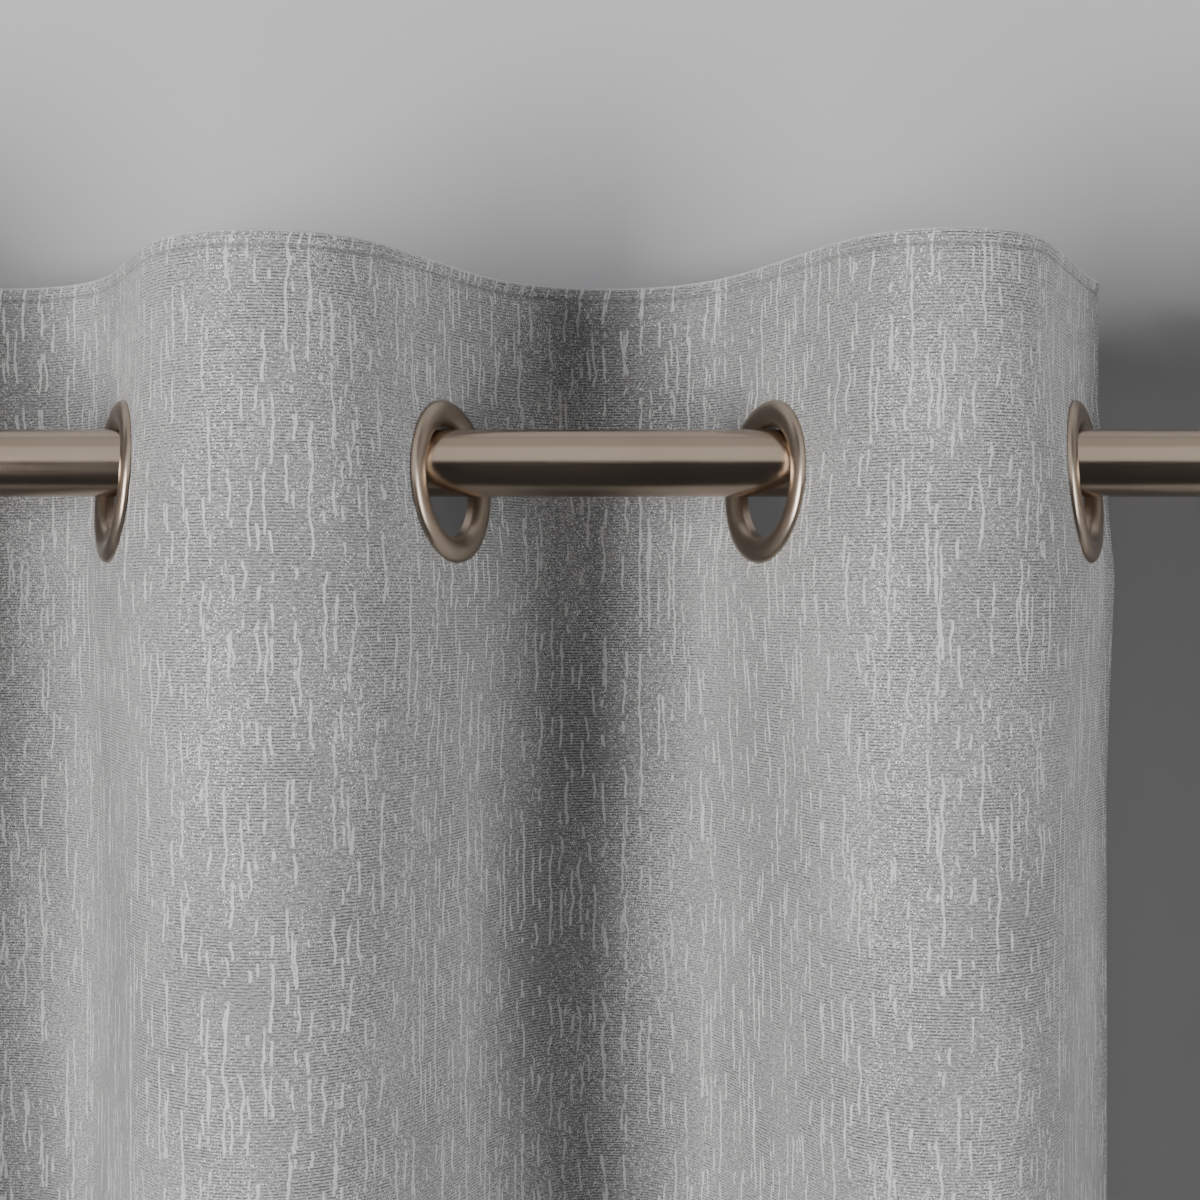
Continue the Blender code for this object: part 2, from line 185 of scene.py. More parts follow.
def middle_of(names):
    low, high = box_of(names)
    return (low + high) / 2


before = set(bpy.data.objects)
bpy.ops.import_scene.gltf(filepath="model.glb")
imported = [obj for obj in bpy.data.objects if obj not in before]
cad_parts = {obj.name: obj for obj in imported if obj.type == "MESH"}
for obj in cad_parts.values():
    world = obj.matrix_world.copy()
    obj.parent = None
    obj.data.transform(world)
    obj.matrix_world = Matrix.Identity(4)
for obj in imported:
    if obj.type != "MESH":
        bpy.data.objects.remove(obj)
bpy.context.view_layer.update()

POLE_LOW, POLE_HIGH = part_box("curtain_pole")
POLE_RADIUS = (POLE_HIGH.z - POLE_LOW.z) / 2
POLE_END = POLE_HIGH.x
PROJECTION = -(POLE_LOW.y + POLE_HIGH.y) / 2
EYELET_X = [middle_of(ring_names("left", k + 1)).x for k in range(EYELETS)]
EYELET_Z = middle_of(ring_names("left", 1)).z
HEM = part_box("left_curtain_fold_1")[0].z
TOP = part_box("left_curtain_fold_1")[1].z
PITCHES = np.diff(EYELET_X)
BRACKET_X = -middle_of(["left_bracket_wall_plate"]).x
SLEEVE_X = -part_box("left_finial_sleeve")[1].x
POLE_SEAT = POLE_RADIUS + GAP  # inside of what the pole goes through
CRADLE_OUTER = POLE_SEAT + CRADLE_WALL


# Shape of the hanging cloth


def bulge(fold):
    """-1 for a fold in front of the pole, which every odd one is, and 1 for one behind it."""
    return -1 if fold % 2 else 1


def smooth(low, high, value):
    share = np.clip((value - low) / (high - low), 0, 1)
    return share * share * (3 - 2 * share)


def eyelet_x(eyelet, z):
    """Where an eyelet's line of cloth stands at height z."""
    height = z - EYELET_Z
    faded = np.clip((height + LEAN_FADE) / (LEAN_FADE - LEAN_REACH), 0, 1)
    shift = np.where(height < -LEAN_REACH, -LEAN_REACH * faded, np.minimum(height, LEAN_REACH))
    return EYELET_X[eyelet - 1] - bulge(eyelet) * LEAN * shift


def fold_angle(along, flank):
    """The cloth's angle to the pole: straight over the flank, then rounding evenly to the crest."""
    share = np.clip((along - flank) / (FOLD_CLOTH / 2 - flank), 0, 1)
    return FLANK * (1 - (3 * share**2 - share**3) / 2)


def half_fold(along, flank):
    """(x, y) of the cloth this far along it from an eyelet, up to the crest of the fold."""
    nodes, weights = np.polynomial.legendre.leggauss(12)
    straight = np.minimum(along, flank)
    rest = along - straight
    x = straight * math.cos(FLANK)
    y = straight * math.sin(FLANK)
    for node, weight in zip((nodes + 1) / 2, weights / 2):
        angle = fold_angle(straight + rest * node, flank)
        x = x + weight * rest * np.cos(angle)
        y = y + weight * rest * np.sin(angle)
    return x, y


def flank_for(pitch):
    """The flank that makes a fold span this pitch."""
    low = np.zeros_like(pitch)
    high = np.full_like(pitch, FOLD_CLOTH / 2 * 0.95)
    for _ in range(40):
        middle = (low + high) / 2
        wide = 2 * half_fold(FOLD_CLOTH / 2, middle)[0] > pitch
        low = np.where(wide, middle, low)
        high = np.where(wide, high, middle)
    return low


def fold_points(fold, along, z):
    """Points of a fold: rows for the heights z, columns for the distances along from its outer eyelet."""
    start = eyelet_x(fold, z)[:, None]
    pitch = eyelet_x(fold + 1, z)[:, None] - start
    flank = flank_for(pitch)
    inner = along > FOLD_CLOTH / 2
    x, y = half_fold(np.where(inner, FOLD_CLOTH - along, along)[None, :], flank)
    x = np.where(inner, pitch - x, x)
    return start + x, bulge(fold) * y


def edge_points(eyelet, way, along, z):
    """The cloth beyond an end eyelet, which turns back behind the pole. way is -1 or 1 along X."""
    flank = flank_for(np.array([[PITCHES[0] if way < 0 else PITCHES[-1]]]))
    x, y = half_fold(along[None, :], flank)
    start = eyelet_x(eyelet, z)[:, None]
    return start + way * x, y + 0 * start


def uneven(cloth, z, rng, waves, width, height):
    """Smooth unevenness between -1 and 1 over the cloth, as a sum of slanting waves."""
    total = np.zeros((len(z), len(cloth)))
    for _ in range(waves):
        across = rng.uniform(0.4, 1.0) / width * rng.choice((-1, 1))
        up = rng.uniform(0.4, 1.0) / height
        phase = rng.uniform(0, math.tau)
        total += np.sin(math.tau * (cloth[None, :] * across + z[:, None] * up) + phase)
    return total / math.sqrt(waves) / 1.6


def normals_of(points):
    """Unit normals of a grid of points, towards the face side."""
    up = np.gradient(points, axis=0)
    across = np.gradient(points, axis=1)
    normal = np.cross(across, up)
    return normal / np.linalg.norm(normal, axis=2, keepdims=True)


# A panel's grid


def spaced(start, end, step):
    return np.linspace(start, end, max(2, round(abs(end - start) / step) + 1))


def without_doubles(values, least=0.00012):
    values = np.sort(values)
    return values[np.concatenate(([True], np.diff(values) > least))]


def panel_rows():
    """Heights of the grid, close together at the edges, the creases and the eyelets."""
    rounding = EDGE_ROUND * np.array([0, 0.12, 0.4, 1.0])
    band = TOP_BAND + CREASE_WIDTH * np.array([-3, -1.6, -0.7, 0, 0.7, 1.6, 3])
    hem_top = HEM + HEM_DEPTH
    facing_end = TOP - FACING
    return without_doubles(
        np.concatenate(
            (
                HEM + rounding,
                spaced(HEM + 0.004, hem_top - 0.003, ROW_COARSE),
                hem_top + STEP * np.array([-0.5, 0.5]),
                spaced(hem_top + 0.003, facing_end - 0.003, ROW_COARSE),
                facing_end + STEP * np.array([-0.5, 0.5]),
                spaced(facing_end + 0.002, TOP - 0.010, ROW_FINE),
                TOP - band,
                TOP - rounding,
            )
        )
    )


def edge_columns():
    """Distances from an end eyelet to the panel's edge."""
    rounding = EDGE_ROUND * np.array([0, 0.12, 0.4, 1.0])
    turned = EDGE_LENGTH - SIDE_HEM
    return without_doubles(
        np.concatenate(
            (
                spaced(0, turned - 0.002, COLUMN),
                turned + STEP * np.array([-0.5, 0.5]),
                spaced(turned + 0.002, EDGE_LENGTH - 0.002, COLUMN),
                EDGE_LENGTH - rounding,
            )
        )
    )


class Panel:
    """The middle of one panel's cloth as a grid, with its layers and the faces that eyelets cut away."""

    def __init__(self, side):
        self.side = side
        self.hand = HANDS[side]
        self.z = panel_rows()
        edge = edge_columns()
        fold = spaced(0, FOLD_CLOTH, COLUMN)
        sections = [(edge_points(1, -1, edge[::-1], self.z), EDGE_LENGTH - edge[::-1])]
        for k in range(1, EYELETS):
            before = EDGE_LENGTH + (k - 1) * FOLD_CLOTH
            sections.append((fold_points(k, fold, self.z), before + fold))
        sections.append((edge_points(EYELETS, 1, edge, self.z), PANEL_CLOTH - EDGE_LENGTH + edge))
        self.sections = []
        x, y, cloth = [], [], []
        for i, ((section_x, section_y), section_cloth) in enumerate(sections):
            skip = 1 if i else 0
            first = sum(len(c) for c in cloth) - skip
            self.sections.append((first, first + len(section_cloth) - 1))
            x.append(section_x[:, skip:])
            y.append(section_y[:, skip:])
            cloth.append(section_cloth[skip:])
        self.sections[0] = (0, len(sections[0][1]) - 1)
        self.cloth = np.concatenate(cloth)
        x, y = np.concatenate(x, axis=1), np.concatenate(y, axis=1)
        self.middle = np.stack((x, y - PROJECTION, np.broadcast_to(self.z[:, None], x.shape)), axis=2)
        self.cut_holes()
        self.hang()
        self.normal = normals_of(self.middle)
        self.front = self.middle + self.normal * self.front_offset()[:, :, None]
        self.back = self.middle + self.normal * self.back_offset()[:, :, None]

    def cut_holes(self):
        """Marks the faces inside each eyelet's hole, and draws the faces around it onto its rim."""
        centres = (self.middle[1:, 1:] + self.middle[:-1, :-1]) / 2
        self.kept = np.ones(centres.shape[:2], bool)
        hole = EYELET_BORE + BARREL_WALL + GAP
        for eyelet in range(1, EYELETS + 1):
            centre = np.array((EYELET_X[eyelet - 1], -PROJECTION, EYELET_Z))
            inside = np.linalg.norm(centres - centre, axis=2) < hole
            self.kept &= ~inside
            touches_cut = np.zeros(self.middle.shape[:2], bool)
            touches_kept = np.zeros(self.middle.shape[:2], bool)
            for row in (slice(None, -1), slice(1, None)):
                for column in (slice(None, -1), slice(1, None)):
                    touches_cut[row, column] |= inside
                    touches_kept[row, column] |= ~inside
            rim = touches_cut & touches_kept
            away = self.middle[rim] - centre
            self.middle[rim] = centre + away * hole / np.linalg.norm(away, axis=1, keepdims=True)

    def hang(self):
        """Sways and ripples the cloth a little, more towards the hem and not at all at the eyelets."""
        rng = np.random.default_rng(SEED + (self.hand < 0))
        loose = smooth(EYELET_Z - SWAY_FROM, EYELET_Z - SWAY_FULL, self.z)[:, None]
        clear = smooth(EYELET_Z - LEAN_REACH, EYELET_Z - LEAN_REACH - 0.06, self.z)[:, None]
        self.middle[:, :, 0] += SWAY_X * loose * uneven(self.cloth, self.z, rng, SWAY_WAVES, 0.30, 0.80)
        self.middle[:, :, 1] += SWAY_Y * loose * uneven(self.cloth, self.z, rng, SWAY_WAVES, 0.30, 0.70)
        ripple = uneven(self.cloth, self.z, rng, RIPPLE_WAVES, 0.045, 0.26)
        self.middle += normals_of(self.middle) * (RIPPLE * clear * ripple)[:, :, None]

    def rounded_edges(self):
        """1 over the cloth, falling to 0 in a quarter round at each outer edge."""
        total = np.ones(self.middle.shape[:2])
        for distance in (
            (TOP - self.z)[:, None],
            (self.z - HEM)[:, None],
            self.cloth[None, :],
            (PANEL_CLOTH - self.cloth)[None, :],
        ):
            share = np.clip(distance / EDGE_ROUND, 0, 1)
            total = total * np.sqrt(1 - (1 - share) ** 2)
        return total

    def front_offset(self):
        below_top = TOP - self.z
        crease = CREASE * np.exp(-(((below_top - TOP_BAND) / CREASE_WIDTH) ** 2))
        puff = CREASE / 2 * np.sin(np.pi * np.clip(below_top / TOP_BAND, 0, 1))
        hem = CREASE / 3 * smooth(HEM + HEM_DEPTH + 0.004, HEM + HEM_DEPTH - 0.004, self.z)
        return (FACE - crease + puff + hem)[:, None] * self.rounded_edges()

    def back_offset(self):
        rows = (self.z > TOP - FACING) | (self.z < HEM + HEM_DEPTH)
        columns = (self.cloth < SIDE_HEM) | (self.cloth > PANEL_CLOTH - SIDE_HEM)
        turned = rows[:, None] | columns[None, :]
        return np.where(turned, TURNED, 0.0) * self.rounded_edges()

    def lining_offset(self):
        """How far the lining hangs behind its place, where it passes over the turned-up hem.

        Its side edges stay under the side hems all the way down.
        """
        over = smooth(HEM + HEM_DEPTH + 0.022, HEM + HEM_DEPTH + STEP, self.z)
        inside = np.minimum(self.cloth, PANEL_CLOTH - self.cloth)
        free = smooth(SIDE_HEM - STEP, SIDE_HEM + STEP, inside)
        return TURNED * over[:, None] * free[None, :]

    def at(self, surface, cloth, z):
        """Points on a surface at these distances across the cloth and heights."""
        column = np.interp(cloth, self.cloth, np.arange(len(self.cloth)))
        row = np.interp(z, self.z, np.arange(len(self.z)))
        c = np.minimum(column.astype(int), len(self.cloth) - 2)
        r = np.minimum(row.astype(int), len(self.z) - 2)
        across, up = (column - c)[:, None], (row - r)[:, None]
        low = surface[r, c] * (1 - across) + surface[r, c + 1] * across
        high = surface[r + 1, c] * (1 - across) + surface[r + 1, c + 1] * across
        return low * (1 - up) + high * up

    def placed(self, points):
        """Points of the left-hand working frame on this panel's own side."""
        return points * np.array((self.hand, 1, 1))


# Meshes


def add_mesh(name, vertices, faces, materials, smooth_faces=True):
    mesh = bpy.data.meshes.new(name)
    mesh.from_pydata(vertices.tolist(), [], faces.tolist())
    for material in materials:
        mesh.materials.append(material)
    mesh.polygons.foreach_set("use_smooth", np.full(len(faces), smooth_faces))
    obj = bpy.data.objects.new(name, mesh)
    bpy.context.scene.collection.objects.link(obj)
    return obj


def paint_coordinates(mesh, values):
    """values is (corners, 2): each corner's place on the material, in metres."""
    layer = mesh.uv_layers.new(name="finish")
    layer.uv.foreach_set("vector", values.astype(np.float32).ravel())


def cloth_piece(name, panel, surfaces, columns, rows, material, cut=True):
    """A closed piece of a panel's cloth between two surfaces, over a range of columns and rows."""
    (first, last), (bottom, top) = columns, rows
    front, back = (surface[bottom : top + 1, first : last + 1] for surface in surfaces)
    shape = front.shape[:2]
    count = shape[0] * shape[1]
    index = np.arange(count).reshape(shape)
    quads = np.stack((index[:-1, :-1], index[:-1, 1:], index[1:, 1:], index[1:, :-1]), axis=2)
    kept = panel.kept[bottom:top, first:last] if cut else np.ones(quads.shape[:2], bool)
    quads = quads[kept]
    edges = np.concatenate([quads[:, (i, (i + 1) % 4)] for i in range(4)])
    key = np.sort(edges, axis=1)
    _, inverse, uses = np.unique(key, axis=0, return_inverse=True, return_counts=True)
    rim = edges[uses[inverse.ravel()] == 1]
    walls = np.stack((rim[:, 1], rim[:, 0], rim[:, 0] + count, rim[:, 1] + count), axis=1)
    faces = np.concatenate((quads, quads[:, ::-1] + count, walls))
    if panel.hand < 0:
        faces = faces[:, ::-1]
    points = panel.placed(np.concatenate((front.reshape(-1, 3), back.reshape(-1, 3))))
    used = np.unique(faces)
    renumber = np.zeros(2 * count, int)
    renumber[used] = np.arange(len(used))
    obj = add_mesh(name, points[used], renumber[faces], [material])
    cloth = np.broadcast_to(panel.cloth[None, first : last + 1], shape).ravel()
    height = np.broadcast_to(panel.z[bottom : top + 1, None], shape).ravel()
    slip = BAND_SLANT * np.maximum(0, height - (TOP - TOP_BAND))
    across = cloth - slip + (2.0 if panel.hand < 0 else 0.0)
    place = np.stack((np.concatenate((across, across + 4.0)), np.tile(height, 2)), axis=1)
    paint_coordinates(obj.data, place[faces].reshape(-1, 2))
    normals = [normals_of(surfaces[0]), -normals_of(surfaces[1])]
    normals = [n[bottom : top + 1, first : last + 1].reshape(-1, 3) for n in normals]
    normals = panel.placed(np.concatenate(normals))
    corner = normals[faces].reshape(-1, 3)
    across_wall = points[walls[:, 0]] - points[walls[:, 1]]
    outward = np.cross(across_wall, points[walls[:, 3]] - points[walls[:, 0]])
    outward = outward / np.maximum(np.linalg.norm(outward, axis=1, keepdims=True), 1e-12)
    corner[-4 * len(walls) :] = np.repeat(outward * -panel.hand, 4, axis=0)
    obj.data.normals_split_custom_set(corner.tolist())
    return obj


def stitches(name, panel, surface, ends, side_of_cloth, material):
    """A row of thread stitches on a surface, from one (across, height) of the cloth to another."""
    start, end = np.array(ends[0]), np.array(ends[1])
    count = max(1, int(np.linalg.norm(end - start) / (STITCH + STITCH_GAP)))
    rings = np.array([0, 0.18, 0.5, 0.82, 1.0])
    swell = np.array([0.15, 0.85, 1.0, 0.85, 0.15])
    sides = 6
    first = (np.arange(count) + 0.5 * STITCH_GAP / (STITCH + STITCH_GAP)) / count
    share = first[:, None] + rings[None, :] * STITCH / (STITCH + STITCH_GAP) / count
    places = start + share.reshape(-1, 1) * (end - start)
    centre = panel.at(surface, places[:, 0], places[:, 1])
    out = panel.at(panel.normal, places[:, 0], places[:, 1]) * side_of_cloth
    out = out / np.linalg.norm(out, axis=1, keepdims=True)
    centre = centre.reshape(count, len(rings), 3)
    out = out.reshape(count, len(rings), 3)
    run = np.broadcast_to(centre[:, -1:] - centre[:, :1], centre.shape)
    sideways = np.cross(run, out)
    sideways = sideways / np.linalg.norm(sideways, axis=2, keepdims=True)
    lift = THREAD * (swell - 0.75)
    centre = centre + out * lift[None, :, None]
    points = []
    for i in range(sides):
        turn = math.tau * i / sides
        spoke = out * math.cos(turn) + sideways * math.sin(turn)
        points.append(centre + spoke * THREAD * swell[None, :, None])
    points = np.stack(points, axis=2).reshape(-1, 3)
    index = np.arange(len(points)).reshape(count, len(rings), sides)
    around = np.roll(index, -1, axis=2)
    faces = np.stack((index[:, :-1], around[:, :-1], around[:, 1:], index[:, 1:]), axis=3)
    faces = faces.reshape(-1, 4)
    if panel.hand < 0:
        faces = faces[:, ::-1]
    return add_mesh(name, panel.placed(points), faces, [material])


# Turned and extruded metal


def frame_at(origin, direction, sideways):
    """A matrix that puts local Z along direction and local X along sideways, at origin."""
    z = Vector(direction).normalized()
    x = Vector(sideways).normalized()
    y = z.cross(x)
    return Matrix.Translation(origin) @ Matrix((x, y, z)).transposed().to_4x4()


def rounded(profile, radius, closed=False, steps=4):
    """The profile with each corner turned into a small arc, as wide as its sides allow."""
    points = [Vector(p) for p in profile]
    befores = [points[-1], *points[:-1]]
    afters = [*points[1:], points[0]]
    result = []
    for i, (before, corner, after) in enumerate(zip(befores, points, afters)):
        if not closed and i in (0, len(points) - 1):
            result.append(corner)
            continue
        reach = min(radius, (before - corner).length * 0.45, (after - corner).length * 0.45)
        start = corner + (before - corner).normalized() * reach
        end = corner + (after - corner).normalized() * reach
        for t in np.linspace(0, 1, steps + 1):
            result.append(start * (1 - t) ** 2 + corner * 2 * t * (1 - t) + end * t**2)
    return result


def bezier(points, steps):
    """Points of a cubic curve through its two end points."""
    a, b, c, d = (np.array(p) for p in points)
    t = np.linspace(0, 1, steps + 1)[:, None]
    return a * (1 - t) ** 3 + 3 * b * t * (1 - t) ** 2 + 3 * c * t**2 * (1 - t) + d * t**3


def turned(name, profile, matrix, material, sides=ROUND_SIDES, closed=False, shapes=None):
    """A body turned round local Z from (radius, height) points.

    shapes maps a point's place in the profile to a function of the angle that scales its radius.
    """
    profile = np.array([tuple(p) for p in profile], float)
    angles = np.linspace(0, math.tau, sides, endpoint=False)
    radii = np.repeat(profile[:, :1], sides, axis=1)
    for row, shape in (shapes or {}).items():
        radii[row] *= shape(angles)
    heights = np.repeat(profile[:, 1:], sides, axis=1)
    points = np.stack((radii * np.cos(angles), radii * np.sin(angles), heights), axis=2)
    index = np.arange(len(profile) * sides).reshape(len(profile), sides)
    rows = np.concatenate((index, index[:1])) if closed else index
    around = np.roll(rows, -1, axis=1)
    faces = np.stack((rows[:-1], around[:-1], around[1:], rows[1:]), axis=2).reshape(-1, 4)
    obj = add_mesh(name, points.reshape(-1, 3), faces, [material])
    steps = np.linalg.norm(np.diff(profile, axis=0, append=profile[:1]), axis=1)
    run = np.concatenate(([0], np.cumsum(steps)))[: len(rows)]
    column = np.arange(sides)[:, None] + np.array([0, 1, 1, 0])
    u = np.broadcast_to(column * math.tau * profile[:, 0].max() / sides, (len(rows) - 1, sides, 4))
    v = np.stack((run[:-1], run[:-1], run[1:], run[1:]), axis=1)[:, None, :].repeat(sides, axis=1)
    paint_coordinates(obj.data, np.stack((u, v), axis=3).reshape(-1, 2))
    weld(obj)
    obj.data.transform(matrix)
    return obj


def weld(obj):
    """Joins the points that meet on the axis, and turns the faces outwards."""
    bm = bmesh.new()
    bm.from_mesh(obj.data)
    bmesh.ops.remove_doubles(bm, verts=bm.verts, dist=1e-6)
    bmesh.ops.dissolve_degenerate(bm, edges=bm.edges, dist=1e-7)
    bmesh.ops.recalc_face_normals(bm, faces=bm.faces)
    bm.to_mesh(obj.data)
    bm.free()
    obj.data.set_sharp_from_angle(angle=math.radians(40))


# Materials


class Graph:
    """A material's nodes, with short calls to add and join them."""

    def __init__(self, name):
        self.material = bpy.data.materials.new(name)
        self.material.use_nodes = True
        self.tree = self.material.node_tree
        self.shader = self.tree.nodes["Principled BSDF"]
        coordinates = self.node("ShaderNodeUVMap")
        coordinates.uv_map = "finish"
        self.place = coordinates.outputs["UV"]
        split = self.node("ShaderNodeSeparateXYZ", Vector=self.place)
        self.u, self.v = split.outputs["X"], split.outputs["Y"]

    def node(self, kind, **inputs):
        made = self.tree.nodes.new(kind)
        for name, value in inputs.items():
            self.feed(made.inputs[name.replace("_", " ")], value)
        return made

    def feed(self, socket, value):
        if isinstance(value, bpy.types.NodeSocket):
            self.tree.links.new(value, socket)
        else:
            socket.default_value = value

    def math(self, operation, *values, clamp=False):
        made = self.node("ShaderNodeMath")
        made.operation = operation
        made.use_clamp = clamp
        for socket, value in zip(made.inputs, values):
            self.feed(socket, value)
        return made.outputs["Value"]

    def scaled(self, value, scale, plus, clamp=False):
        return self.math("MULTIPLY_ADD", value, scale, plus, clamp=clamp)

    def times(self, value, scale):
        return self.math("MULTIPLY", value, scale)

    def less(self, value, taken):
        return self.math("SUBTRACT", value, taken)

    def ramp(self, value, low, high, bottom=0.0, top=1.0):
        """value from low..high to bottom..top, smoothly."""
        made = self.node(
            "ShaderNodeMapRange", Value=value, From_Min=low, From_Max=high, To_Min=bottom, To_Max=top
        )
        made.interpolation_type = "SMOOTHSTEP"
        return made.outputs["Result"]

    def vector(self, x, y, z=0.0):
        return self.node("ShaderNodeCombineXYZ", X=x, Y=y, Z=z).outputs["Vector"]

    def noise(self, u_scale, v_scale, seed=0.0, detail=2.0, roughness=0.5, u=None, v=None):
        """Noise over the surface with its own grain size each way, in features per metre."""
        place = self.vector(
            self.times(self.u if u is None else u, u_scale),
            self.times(self.v if v is None else v, v_scale),
            seed,
        )
        made = self.node(
            "ShaderNodeTexNoise", Vector=place, Scale=1.0, Detail=detail, Roughness=roughness
        )
        return made.outputs["Fac"]

    def random(self, *values):
        """A number from 0 to 1 for each different set of values."""
        made = self.node("ShaderNodeTexWhiteNoise", Vector=self.vector(*values))
        return made.outputs["Value"]

    def mix(self, share, first, second):
        made = self.node("ShaderNodeMix")
        made.data_type = "RGBA"
        self.feed(made.inputs["Factor"], share)
        self.feed(made.inputs[6], first)
        self.feed(made.inputs[7], second)
        return made.outputs[2]

    def bump(self, height, distance, strength=1.0):
        made = self.node("ShaderNodeBump", Height=height, Distance=distance, Strength=strength)
        self.feed(self.shader.inputs["Normal"], made.outputs["Normal"])

    def set(self, **inputs):
        for name, value in inputs.items():
            self.feed(self.shader.inputs[name.replace("_", " ")], value)
        return self.material


def grey(level, warmth=0.0):
    return (level * (1 + warmth), level, level * (1 - warmth), 1)


def slub_strokes(graph, pitch, breaks, cover, seed):
    """Raised slub threads: wavering upright strokes, one in each narrow column, broken along it."""
    waver = graph.less(graph.noise(26, 75, seed, detail=3), 0.5)
    across = graph.math("ADD", graph.u, graph.times(waver, 0.0056))
    step = graph.math("DIVIDE", across, pitch)
    column = graph.math("FLOOR", step)
    offset = graph.scaled(graph.random(column, seed), 0.6, 0.2)
    distance = graph.math("ABSOLUTE", graph.less(graph.math("FRACT", step), offset))
    distance = graph.times(distance, pitch)
    run = graph.vector(
        graph.times(column, 5.37), graph.times(graph.v, breaks), seed
    )
    along = graph.node("ShaderNodeTexNoise", Vector=run, Scale=1.0, Detail=2.5)
    present = graph.ramp(along.outputs["Fac"], cover, cover + 0.03)
    width = graph.times(graph.noise(110, 240, seed + 2), 0.00115)
    edge = graph.less(width, distance)
    return graph.times(graph.ramp(edge, -0.0002, 0.00022), present)


def cloth_material():
    """Silver-grey slub weave: fine weft ribs, raised upright slubs and a scatter of metal thread, with
    painted shade along the top crease and a painted highlight along the top edge.
    """
    graph = Graph("silver_grey_slub_weave")
    slub = 0.0
    for layer in SLUB_LAYERS:
        slub = graph.math("MAXIMUM", slub_strokes(graph, *layer), slub)
    shake = graph.less(graph.noise(60, 220, 5), 0.5)
    rib_place = graph.math("ADD", graph.v, graph.times(shake, 0.0010))
    rib = graph.math("SINE", graph.times(rib_place, math.tau / RIB))
    patch = graph.ramp(graph.noise(30, 22, 8, detail=3), 0.40, 0.60)
    rib = graph.times(rib, graph.scaled(patch, 0.65, 0.35))
    dashes = graph.less(graph.noise(420, 1500, 17, detail=1), 0.5)
    grain = graph.less(graph.noise(1600, 1600, 13, detail=1), 0.5)
    salt = graph.scaled(dashes, 1.1, grain)
    fleck = graph.random(
        graph.math("FLOOR", graph.math("DIVIDE", graph.u, GLINT)),
        graph.math("FLOOR", graph.math("DIVIDE", graph.v, GLINT)),
        1.0,
    )
    drift = graph.noise(16, 7, 21, detail=2)
    level = graph.scaled(drift, -0.34, 1.09)
    bare = graph.scaled(slub, -0.7, 1.0)
    glint = graph.times(graph.math("GREATER_THAN", fleck, level), bare)

    shade = graph.scaled(rib, 0.33, 0.46)
    shade = graph.scaled(salt, 1.1, shade)
    shade = graph.scaled(graph.less(drift, 0.5), 0.3, shade, clamp=True)
    ground = graph.mix(shade, grey(0.085), grey(0.47))
    thread = graph.mix(graph.math("ADD", salt, 0.5, clamp=True), grey(0.50), grey(0.72))
    colour = graph.mix(graph.times(slub, 0.9), ground, thread)
    colour = graph.mix(glint, colour, grey(0.80))
    # Painted shade: a dark line along the crease of the top band's topstitching, where shade falls
    from_crease = graph.math("ABSOLUTE", graph.less(graph.v, TOP - TOP_BAND))
    crease_shade = graph.ramp(from_crease, CREASE_WIDTH * 1.6, CREASE_WIDTH * 0.2)
    colour = graph.mix(graph.times(crease_shade, 0.4), colour, grey(0.10))
    # Painted highlight: lighter along the rounded top edge, where light from above catches it
    top_edge_highlight = graph.ramp(graph.v, TOP - EDGE_ROUND * 1.2, TOP - EDGE_ROUND * 0.3)
    colour = graph.mix(graph.times(top_edge_highlight, 0.85), colour, grey(0.66))

    height = graph.times(rib, 0.16)
    height = graph.scaled(salt, 0.7, height)
    height = graph.scaled(slub, 0.6, height)
    graph.bump(height, 0.0005)
    return graph.set(
        Base_Color=colour,
        Roughness=graph.scaled(glint, -0.42, 0.78),
        Metallic=graph.times(glint, 0.5),
        Sheen_Weight=0.15,
        Sheen_Roughness=0.45,
        Specular_IOR_Level=0.25,
    )


def lining_material():
    """Plain pale cotton-sateen lining."""
    graph = Graph("pale_lining")
    weft = graph.math("SINE", graph.times(graph.v, math.tau / 0.00055))
    warp = graph.math("SINE", graph.times(graph.u, math.tau / 0.00055))
    weave = graph.times(weft, warp)
    slack = graph.noise(18, 5, 31, detail=3)
    shade = graph.scaled(weave, 0.08, slack, clamp=True)
    colour = graph.mix(shade, (0.52, 0.51, 0.48, 1), (0.66, 0.65, 0.62, 1))
    graph.bump(graph.scaled(weave, 0.3, slack), 0.00025)
    return graph.set(
        Base_Color=colour, Roughness=0.7, Sheen_Weight=0.1, Sheen_Roughness=0.5, Specular_IOR_Level=0.3
    )


def thread_material():
    graph = Graph("grey_thread")
    twist = graph.noise(900, 900, 41)
    colour = graph.mix(twist, grey(0.20), grey(0.34))
    return graph.set(Base_Color=colour, Roughness=0.6, Sheen_Weight=0.2)


def metal_material(name, dark, light, roughness, along, across, wear=0.0):
    """Brushed metal whose fine scratches run one way: along and across are scratches per metre.

    wear is how far its edges are rubbed bright.
    """
    graph = Graph(name)
    scratches = graph.noise(across, along, 51, detail=3, roughness=0.65)
    cloud = graph.noise(22, 22, 57, detail=3)
    share = graph.scaled(graph.less(scratches, 0.5), 0.5, cloud, clamp=True)
    colour = graph.mix(share, (*dark, 1), (*light, 1))
    if wear:
        edge = graph.ramp(graph.node("ShaderNodeNewGeometry").outputs["Pointiness"], 0.53, 0.62)
        worn = graph.times(edge, graph.ramp(graph.noise(140, 140, 59, detail=3), 0.40, 0.62))
        polished = tuple(min(1.0, 1.45 * c) for c in light)
        colour = graph.mix(graph.times(worn, wear), colour, (*polished, 1))
    rough = graph.scaled(scratches, 0.16, roughness - 0.08)
    rough = graph.scaled(cloud, 0.06, rough)
    graph.bump(scratches, 0.00002)
    return graph.set(Base_Color=colour, Metallic=1.0, Roughness=rough)


